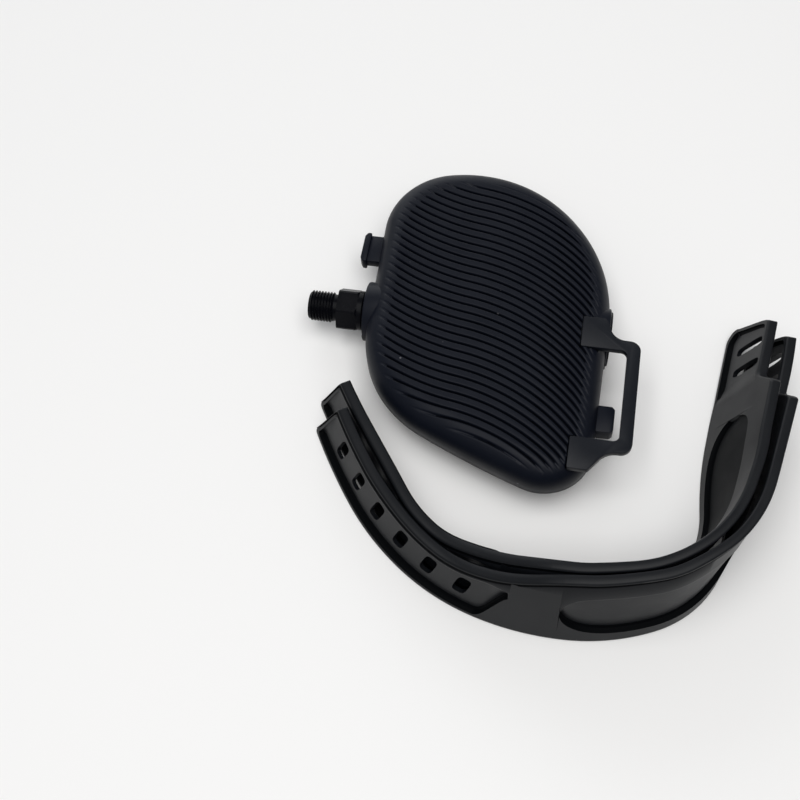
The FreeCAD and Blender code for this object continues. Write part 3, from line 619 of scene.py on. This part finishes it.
# %% Chamfered tip and relief groove
tip_chamfer, tip_ring_share, tip_out = 0.9, 0.9, 0.02
relief_len, relief_drop = 1.9, 0.05
for v in thread.verts:
    r = Vector(v.co.yz).length
    tip_r = thread_r - tip_chamfer + (v.co.x + thread_len)
    relief_r = root_r - relief_drop + max(0.0, -relief_len - v.co.x)
    allowed = min(r, tip_r, relief_r)
    v.co.y *= allowed / r
    v.co.z *= allowed / r
tip_edge = [e for e in thread.edges if e.is_boundary and max(v.co.x for v in e.verts) < -thread_len + 0.01]
made = bmesh.ops.extrude_edge_only(thread, edges=tip_edge)
tip_ring = [v for v in made["geom"] if isinstance(v, bmesh.types.BMVert)]
bmesh.ops.scale(thread, verts=tip_ring, vec=(1, tip_ring_share, tip_ring_share))
bmesh.ops.translate(thread, verts=tip_ring, vec=(-tip_out, 0, 0))
tip_rim = [e for e in thread.edges if e.is_boundary and e.verts[0].co.x < -thread_len]
bmesh.ops.holes_fill(thread, edges=tip_rim, sides=0)
bmesh.ops.recalc_face_normals(thread, faces=thread.faces[:])
spindle_thread = make_piece(thread, "spindle_thread", "spindle", black_steel, 30)
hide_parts("spindle")

# %% Hexagon
hex_af, hex_len, hex_turn = 16.0, 8.6, math.radians(10)
hex_front, hex_back, hex_back_slope, hex_ease = 0.35, 0.9, 1.0, 0.3
corner_r = hex_af / math.sqrt(3)
hex_points = 96
hex_rows = [0.15, 0.35, 0.6, 1.0, 4.0, hex_len - 0.9, hex_len - 0.6, hex_len - 0.3, hex_len]

hexagon = bmesh.new()
bmesh.ops.create_circle(hexagon, cap_ends=False, segments=hex_points, radius=1)
for axis, angle in (((0, 1, 0), math.pi / 2), ((1, 0, 0), hex_turn)):
    turn = Quaternion(axis, angle).to_matrix()
    bmesh.ops.rotate(hexagon, verts=hexagon.verts[:], cent=(0, 0, 0), matrix=turn)
ring = hexagon.edges[:]
for x in hex_rows:
    made = bmesh.ops.extrude_edge_only(hexagon, edges=ring)["geom"]
    ring = [e for e in made if isinstance(e, bmesh.types.BMEdge) and e.is_boundary]
    for v in {v for e in ring for v in e.verts}:
        v.co.x = x
for v in hexagon.verts:
    angle = math.atan2(v.co.z, v.co.y)
    from_corner = (angle - hex_turn + math.pi / 6) % (math.pi / 3) - math.pi / 6
    flat_r = hex_af / 2 / math.cos(math.pi / 6 - abs(from_corner))
    front_r = corner_r - hex_front + v.co.x
    back_r = corner_r - max(0.0, v.co.x - hex_len + hex_back) * hex_back_slope
    r = min(flat_r, front_r, back_r, corner_r - hex_ease)
    v.co.y = r * math.cos(angle)
    v.co.z = r * math.sin(angle)
bmesh.ops.holes_fill(hexagon, edges=[e for e in hexagon.edges if e.is_boundary], sides=0)
bmesh.ops.recalc_face_normals(hexagon, faces=hexagon.faces[:])
make_piece(hexagon, "spindle_hex", "spindle", black_steel, 24)

# %% Collar, journal and shaft
collar_r, collar_end, collar_ease = 8.2, 10.8, 0.4
journal_r, shaft_r, nut_thread_r, shaft_ease = 6.8, 4.35, 4.0, 0.3
inner_balls_in, outer_balls_in, nut_past_balls = 7.0, 13.2, 9.5
collar_sink, cone_back, nut_thread_len = 0.2, 2.4, 14.0
collar_start = hex_len - collar_sink
journal_end = boss_x0 + inner_balls_in - cone_back
nut_end = boss_x1 - outer_balls_in + nut_past_balls
nut_thread_start = nut_end - nut_thread_len
shaft_end = nut_end + 2 * shaft_ease
turned = [(collar_start, 0.0), (collar_start, collar_r), (collar_end - collar_ease, collar_r),
          (collar_end, collar_r - collar_ease), (collar_end, journal_r), (journal_end, journal_r),
          (journal_end + shaft_ease, shaft_r), (nut_thread_start - shaft_ease, shaft_r),
          (nut_thread_start, nut_thread_r), (nut_end + shaft_ease, nut_thread_r),
          (shaft_end, nut_thread_r - shaft_ease), (shaft_end, 0.0)]
shaft = bmesh.new()
points = [shaft.verts.new((x, r, 0)) for x, r in turned]
sides = [shaft.edges.new(pair) for pair in zip(points, points[1:])]
bmesh.ops.spin(shaft, geom=points + sides, cent=(0, 0, 0), axis=(1, 0, 0), dvec=(0, 0, 0),
               angle=2 * math.pi, steps=48, use_merge=True)
bmesh.ops.remove_doubles(shaft, verts=shaft.verts[:], dist=0.0001)
bmesh.ops.recalc_face_normals(shaft, faces=shaft.faces[:])
make_piece(shaft, "spindle_shaft", "spindle", black_steel, 30)

# %% [markdown]
# ## Strap bracket
# The loop plate that holds the strap already has its true form as a solid, but moulded plastic has no
# knife edges. Drawing it again would only repeat its outline, so a copy of its CAD mesh is merged into
# one skin, and a Bevel modifier rounds its sharp edges; hardened normals keep the flat faces flat.

# %% Bracket plate
bracket_ease, bracket_sharp = 0.35, 40
plate = bmesh.new()
plate.from_mesh(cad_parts["strap_bracket"].data)
bmesh.ops.scale(plate, verts=plate.verts[:], vec=(1 / MM, 1 / MM, 1 / MM))
bmesh.ops.remove_doubles(plate, verts=plate.verts[:], dist=0.01)
bmesh.ops.dissolve_limit(plate, verts=plate.verts[:], edges=plate.edges[:], angle_limit=math.radians(0.5))
bracket_plate = make_piece(plate, "bracket_plate", "pedal", bracket_plastic, 180)
round_off = bracket_plate.modifiers.new("round_off", "BEVEL")
round_off.width = bracket_ease * MM
round_off.segments = 2
round_off.limit_method = "ANGLE"
round_off.angle_limit = math.radians(bracket_sharp)
round_off.harden_normals = True
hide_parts("strap_bracket")

# %% [markdown]
# ## Straps
# Each strap is one moulding standing on edge: a strip with a bead along its top, a holed end with a
# sunken channel, a sunken panel outside, an oval inside and a slotted tab. Its section changes along
# the way, so one ring of points is extruded from station to station and placed by the section's own
# rule there. Coves at the foot of each recess, a strip under the bead and the top of the tab pocket
# get painted shade, a dark glossless finish for the dark lines that the mouldings show.

# %% Ways of the two straps
strap_heights = [(0.0, 22.1), (90.0, 23.8), (112.0, 29.2), (134.0, 37.4), (163.0, 38.7), (190.0, 39.8),
                 (230.0, 38.8), (265.0, 37.2)]
outer_way = {
    "start": Vector((0.8, -52.4)), "heading": -60.5, "hole_first": 18.0, "hole_drop": 0.0,
    "runs": [(34.0, 7.2), (34.0, 16.8), (34.0, 21.3), (34.0, 17.4), (34.0, 23.9), (34.0, 45.7),
             (24.0, 17.8), (30.0, -4.0), (42.5, -1.0)],
    "leans": [(0.0, -0.47), (50.0, -0.42), (105.0, -0.25), (160.0, -0.2), (192.0, -0.08),
              (210.0, 0.1), (228.0, 0.22), (250.0, 0.32), (285.0, 0.44)]}
inner_way = {
    "start": Vector((0.2, -40.2)), "heading": -59.2, "hole_first": 15.0, "hole_drop": 2.6,
    "runs": [(26.0, 5.2), (34.0, 1.1), (34.0, 30.3), (34.0, 15.6), (34.0, 31.3), (34.0, 38.8),
             (24.0, 31.2), (30.0, -10.7), (50.5, -1.0)],
    "leans": [(0.0, -0.43), (50.0, -0.4), (105.0, -0.31), (160.0, -0.17), (192.0, 0.07),
              (210.0, 0.21), (228.0, 0.38), (250.0, 0.43), (285.0, 0.47)]}
for way in (outer_way, inner_way):
    print("way length %.1f mm" % sum(length for length, turn in way["runs"]))

# %% Height and lean along a strap
ease_span = 7.0
ease_marks = (-1, -0.5, 0, 0.5, 1)


def between(stations, s):
    """Even run between named stations."""
    for (s0, a), (s1, b) in zip(stations, stations[1:]):
        if s <= s1:
            return a + (b - a) * max(0.0, (s - s0) / (s1 - s0))
    return stations[-1][1]


def eased(stations, s):
    """The same run with its bends smoothed."""
    return sum(between(stations, s + ease_span * k) for k in ease_marks) / len(ease_marks)


print("height at the first hole: %.1f mm" % eased(strap_heights, outer_way["hole_first"]))

# %% Point on a strap
def way_at(way, s):
    """Plan point and heading at distance s along a strap's way."""
    heading = math.radians(way["heading"])
    before = min(s, 0.0)
    p = way["start"] + Vector((math.cos(heading), math.sin(heading))) * before
    s -= before
    for length, turn in way["runs"]:
        part = min(s, length)
        bend = math.radians(turn) * part / length
        middle = heading + bend / 2
        chord = part if abs(bend) < 1e-6 else 2 * part / bend * math.sin(bend / 2)
        p += Vector((math.cos(middle), math.sin(middle))) * chord
        heading += bend
        s -= part
    return p + Vector((math.cos(heading), math.sin(heading))) * s, heading


def strap_point(way, s, v, n):
    """Point at distance s, height v and n outwards from a strap's middle."""
    p, heading = way_at(way, s)
    out = n + eased(way["leans"], s) * v
    return Vector((p.x + math.sin(heading) * out, p.y - math.cos(heading) * out, table_z + v))


print("outer strap's first point:", [round(c, 1) for c in strap_point(outer_way, 0, 0, 0)])

# %% Edges of a strap
strap_s0, end_slope, end_corner, end_flat, end_round = -0.9, 3.2, 2.0, 0.4, 3.0
strap_s1, tab_slope, tab_corner, tab_flat, tab_round = 304.0, 3.8, 5.2, 0.8, 6.0
tab_low, tab_high = 0.6, 27.2
shoulder_s, neck_s, tab_taper = 263.2, 272.4, 14.0


def soft_min(a, b, reach):
    """The lesser of two values, rounded where they cross."""
    near = max(0.0, reach - abs(a - b)) / reach
    return min(a, b) - near * near * reach / 4


def corner_cut(radius, away):
    """How far a rounded corner cuts in, at a distance from the end."""
    gap = max(0.0, radius - away)
    return radius - math.sqrt(max(0.0, radius ** 2 - gap ** 2))


def strap_low(s):
    """Lower edge at s, rounded at both ends and a little raised along the tab."""
    low = tab_low * smooth_step(neck_s - tab_taper, neck_s, s)
    return low + corner_cut(end_corner, s - strap_s0) + corner_cut(tab_corner, strap_s1 - s)


def strap_high(s):
    """Upper edge at s: cut off aslant at both ends, with the shoulder that steps down to the tab."""
    high = eased(strap_heights, s)
    high += (tab_high - high) * smooth_step(shoulder_s, neck_s, s)
    high = soft_min(high, end_corner + end_flat + (s - strap_s0) * end_slope, end_round)
    return soft_min(high, tab_corner + tab_low + tab_flat + (strap_s1 - s) * tab_slope, tab_round)


print("height of the tab: %.1f mm" % (strap_high(neck_s + tab_taper) - strap_low(neck_s + tab_taper)))

# %% Recesses of a strap
channel_end, channel_tip, channel_bend = 103.6, 113.6, 2.0
channel_rim, channel_tip_low, channel_tip_high = 1.7, 19.4, 22.3
channel_brow, channel_slant = 3.5, 1.0
panel_mid, panel_half, panel_low, panel_high = 171.0, 37.4, 5.4, 28.2
oval_mid, oval_half, oval_low, oval_high = 227.0, 29.0, 4.2, 28.6
pocket_s, pocket_fade, pocket_from, pocket_slant, tab_rim = 268.0, 9.0, 260.0, 1.2, 1.8
least_recess, sink_run = 0.3, 2.5


def oval_part(s, mid, half, low, high, low_power, high_power):
    """Low and high of a recess with round ends, squarer with a higher power, and how far it is sunk."""
    t = abs(s - mid) / half
    if t >= 1:
        return low, high, 0.0
    middle, reach = (low + high) / 2, (high - low) / 2
    below = reach * math.sqrt(1 - t ** low_power)
    above = reach * math.sqrt(1 - t ** high_power)
    return middle - below, middle + above, min(1.0, below / sink_run)


def outer_recess(s):
    """Channel or panel on the outer face at s: low, high, how far sunk."""
    if s > channel_tip + 1:
        return oval_part(s, panel_mid, panel_half, panel_low, panel_high, 5, 6)
    rises = [(s + k * channel_bend - channel_end) / (channel_tip - channel_end) for k in ease_marks]
    rise = sum(min(1.0, max(0.0, r)) for r in rises) / len(rises)
    low = strap_low(s - channel_rim) + channel_rim
    high = max(strap_high(s - channel_slant) - channel_brow, low + least_recess)
    opens = smooth_step(strap_s0 + 1.2, strap_s0 + 2.6, s)
    closes = smooth_step(channel_tip - 0.3, channel_tip + 0.8, s)
    sunk = opens * (1 - closes)
    return low + (channel_tip_low - low) * rise, high + (channel_tip_high - high) * rise, sunk


def inner_recess(s):
    """Oval or tab pocket on the inner face at s: low, high, how far sunk."""
    if s < pocket_from:
        return oval_part(s, oval_mid, oval_half, oval_low, oval_high, 3, 8)
    low = strap_low(s + tab_rim) + tab_rim
    high = max(strap_high(s + pocket_slant) - tab_rim, low + least_recess)
    opens = smooth_step(pocket_s, pocket_s + pocket_fade, s)
    closes = smooth_step(strap_s1 - 2.4, strap_s1 - 1.2, s)
    return low, high, opens * (1 - closes)


print("panel from %.1f to %.1f mm high" % outer_recess(panel_mid)[:2])

# %% Coves and floors of the recesses
# Finishes of a strap's faces: plain, painted shade and matte
plain, shade, matte = 0, 1, 2
outer_cove = [(0.0, 0.0), (0.12, 0.5), (0.4, 0.9), (1.0, 1.0), (1.9, 1.0), (3.6, 0.84)]
inner_cove = [(0.0, 0.0), (0.12, 0.5), (0.4, 0.9), (1.0, 1.0), (1.7, 1.0), (3.4, 0.94)]
outer_deep, outer_shallow = 2.1, 0.25
inner_deep, inner_shallow = 1.6, 0.7
shade_sunk = 0.3
full_size = 9.0
brow_in, brow_out, least_floor, least_ledge = 0.35, 0.4, 0.1, 0.3


def recess_side(part, cove, deep, shallow, floor, top, ledge):
    """Points (v, depth, finish) up a recess: coved at its foot, an even floor, a step at its top."""
    low, high, sunk = part
    scale = min(1.0, (high - low) / full_size)
    if sunk < shade_sunk:
        floor = top = plain
    # Where the recess is sunk far enough, its cove faces get painted shade
    cove_shade = shade if sunk > shade_sunk else plain
    side = [(low + run * scale, sunk * deep * share, cove_shade) for run, share in cove[:-1]]
    first = low + cove[-1][0] * scale
    last = high - brow_in * scale
    turn = min(max(ledge, first + least_floor * scale), last - least_ledge * scale)
    third = (turn - first) / 3
    heights = [(first, floor), (first + third, floor), (turn - third, floor), (turn, top), (last, top)]
    for v, finish in heights:
        share = (v - first) / (last - first)
        side.append((v, sunk * (deep * cove[-1][1] * (1 - share) + shallow * share), finish))
    return side + [(high, 0.0, top), (high + brow_out * scale, 0.0, plain)]


print("points in a cove:", len(outer_cove), "and", len(inner_cove))

# %% Section of a strap
in_n, out_n, bead_n, line_n = -2.0, 1.5, 1.85, 1.35
edge_size, least_edge = 8.0, 0.05
ledge_slant = 2.8

# Each rounded edge as pairs: distance from the strap's lower or upper edge, and place across it
inner_foot = [(0.0, -1.2), (0.2, -1.75), (0.7, in_n), (1.0, in_n)]
inner_brow = [(1.1, in_n), (0.8, in_n), (0.22, -1.75), (0.0, -1.2)]
bead = [(0.0, 1.1), (0.18, 1.6), (0.5, bead_n), (1.0, bead_n)]
bead_line = [(1.25, 1.65), (1.45, line_n), (3.0, line_n)]
bead_foot = [(3.15, out_n)]
outer_foot = [(1.0, out_n), (0.7, out_n), (0.2, 1.3), (0.0, 0.8)]


def strap_section(s):
    """Ring of (v, n, finish) points round the strap at s."""
    low, high = strap_low(s), strap_high(s)
    flat = min(1.0, max(least_edge, (high - low) / edge_size))
    # Up to the shoulder, the strip just under the bead gets painted shade, a shadow line under its
    # overhang
    line = shade if s < shoulder_s else plain
    ring = [(low + away * flat, n, plain) for away, n in inner_foot]
    floor = matte if s < pocket_from else plain
    # In the tab pocket the step at its top gets painted shade, a dark line under the rim; the oval keeps
    # the matte finish
    top = matte if s < pocket_from else shade
    ledge = strap_high(s + ledge_slant) - tab_rim
    inside = recess_side(inner_recess(s), inner_cove, inner_deep, inner_shallow, floor, top, ledge)
    ring += [(v, in_n + d, finish) for v, d, finish in inside]
    for edge, finish in ((inner_brow, plain), (bead, plain), (bead_line, line), (bead_foot, plain)):
        ring += [(high - away * flat, n, finish) for away, n in edge]
    outside = recess_side(outer_recess(s), outer_cove, outer_deep, outer_shallow, plain, plain, high)
    ring += [(v, out_n - d, finish) for v, d, finish in reversed(outside)]
    ring += [(low + away * flat, n, plain) for away, n in outer_foot]
    return [(min(high, max(low, v)), n, finish) for v, n, finish in ring]


print("section points:", len(strap_section(outer_way["hole_first"])))

# %% Stations along a strap
# Spans as start, end and steps: the whole strap, then closer ones where an edge or a recess turns
panel_start, panel_end = panel_mid - panel_half, panel_mid + panel_half
oval_start, oval_end = oval_mid - oval_half, oval_mid + oval_half
station_spans = [(strap_s0, strap_s1, 150), (strap_s0, strap_s0 + 7.4, 22),
                 (channel_end - 2.6, channel_end + 2.4, 8), (channel_tip - 1.0, channel_tip + 1.4, 9),
                 (panel_start - 0.1, panel_start + 2.4, 9), (oval_start, oval_start + 2.0, 8),
                 (panel_end - 2.4, panel_end, 9), (oval_end - 4.0, oval_end, 12),
                 (shoulder_s - 1.2, neck_s + 1.6, 12), (strap_s1 - 7.5, strap_s1, 24)]
places = set()
for start, end, count in station_spans:
    places.update(round(start + (end - start) * k / count, 3) for k in range(count + 1))
strap_stations = sorted(places)
print("stations:", len(strap_stations))

# %% Holes and slots
hole_corners, hole_square, hole_margin = 16, 0.5, 4.0


def soft_lozenge(half_u, half_v, lean):
    """Corners of a leaning hole with rounded corners."""
    corners = []
    for k in range(hole_corners):
        a = 2 * math.pi * (k + 0.5) / hole_corners
        c = math.copysign(abs(math.cos(a)) ** hole_square, math.cos(a))
        d = math.copysign(abs(math.sin(a)) ** hole_square, math.sin(a))
        corners.append((half_u * c + lean * d, half_v * d))
    return corners


def cut_through(mesh, way, s, v, corners):
    """Cut one hole through both faces of a strap and line its sides."""
    foot = strap_point(way, s, v, 0)
    along = (strap_point(way, s + 0.5, v, 0) - strap_point(way, s - 0.5, v, 0)).normalized()
    up = (strap_point(way, s, v + 1, 0) - foot).normalized()
    out = along.cross(up).normalized()
    reach = max(Vector(c).length for c in corners) + hole_margin
    spots = [foot + along * a + up * b for a, b in corners]
    walls = [(here, (after - here).cross(out)) for here, after in zip(spots, spots[1:] + spots[:1])]
    for here, normal in walls:
        near = [f for f in mesh.faces if (f.calc_center_median() - foot).length < reach]
        geom = set(near)
        for f in near:
            geom.update(f.edges)
            geom.update(f.verts)
        bmesh.ops.bisect_plane(mesh, geom=list(geom), dist=1e-4, plane_co=here, plane_no=normal)
    inside = [f for f in mesh.faces if (f.calc_center_median() - foot).length < reach
              and all((f.calc_center_median() - here).dot(normal) < 1e-4 for here, normal in walls)]
    bmesh.ops.delete(mesh, geom=inside, context="FACES")
    rim = [e for e in mesh.edges if e.is_boundary and (e.verts[0].co - foot).length < reach]
    bmesh.ops.bridge_loops(mesh, edges=rim)


hole_step, hole_count, hole_climb = 15.5, 6, 0.012
hole_half_len, hole_half_high, hole_lean = 2.8, 5.6, 1.5
slot_s, slot_step, slot_count, slot_v = 290.8, 10.3, 2, 15.6
slot_half_len, slot_half_high, slot_lean = 2.1, 8.8, -0.5
strap_hole = soft_lozenge(hole_half_len, hole_half_high, hole_lean)
tab_slot = soft_lozenge(slot_half_len, slot_half_high, slot_lean)
print("holes and slots in a strap:", hole_count, "and", slot_count)

# %% Sweep the section along the way
def swept_strap(way):
    """Strap without holes: the section extruded from station to station, with closed ends."""
    mesh = bmesh.new()
    row = mesh.verts.layers.int.new("row")
    s = strap_stations[0]
    first = [mesh.verts.new(strap_point(way, s, v, n)) for v, n, finish in strap_section(s)]
    for k, vert in enumerate(first):
        vert[row] = k
    edge = [mesh.edges.new((first[k - 1], first[k])) for k in range(len(first))]
    for s in strap_stations[1:]:
        made = bmesh.ops.extrude_edge_only(mesh, edges=edge)["geom"]
        edge = [e for e in made if isinstance(e, bmesh.types.BMEdge) and e.is_boundary]
        section = strap_section(s)
        for vert in made:
            if isinstance(vert, bmesh.types.BMVert):
                v, n, finish = section[vert[row]]
                vert.co = strap_point(way, s, v, n)
        for face in made:
            if isinstance(face, bmesh.types.BMFace):
                finishes = [section[vert[row]][2] for vert in face.verts]
                face.material_index = max(finishes) if min(finishes) > plain else plain
    bmesh.ops.holes_fill(mesh, edges=[e for e in mesh.edges if e.is_boundary], sides=0)
    bmesh.ops.recalc_face_normals(mesh, faces=mesh.faces[:])
    print("swept faces:", len(mesh.faces))
    return mesh


# %% Cut, finish and place both straps
def make_strap(way, name, replaced):
    """Sweep a strap, cut its holes and slots, and give it its finishes."""
    mesh = swept_strap(way)
    for k in range(hole_count):
        s = way["hole_first"] + k * hole_step
        v = strap_high(s) / 2 + hole_climb * s - way["hole_drop"]
        cut_through(mesh, way, s, v, strap_hole)
    for k in range(slot_count):
        cut_through(mesh, way, slot_s - k * slot_step, slot_v, tab_slot)
    bmesh.ops.recalc_face_normals(mesh, faces=mesh.faces[:])
    piece = make_piece(mesh, name, "pedal", strap_rubber, 42)
    piece.data.materials.append(strap_painted_shade)
    piece.data.materials.append(strap_matte)
    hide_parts(replaced)


make_strap(outer_way, "outer_moulding", "outer_strap")
make_strap(inner_way, "inner_moulding", "inner_strap")

# %% [markdown]
# ## Pieces that keep their CAD shape
# The lower shell, the bearings, the counterweight and the screws are plain moulded or turned shapes that
# hardly show. They could be drawn again with softer edges, but their solids are already right, so
# they only get a finish.

# %% Paint the CAD nodes
def paint(material, *names):
    """Give CAD nodes one material."""
    for name in names:
        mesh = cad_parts[name].data
        mesh.materials.clear()
        mesh.materials.append(material)
    print(material.name, "on", len(names), "CAD nodes")


paint(shell_plastic, "lower_shell", "dust_cap", "inner_seal")
paint(black_steel, "cover_screws", "axle_tube", "inner_cup", "outer_cup", "counterweight", "weight_screws",
      "outer_cone", "lock_washer", "locknut", "inner_balls", "outer_balls")
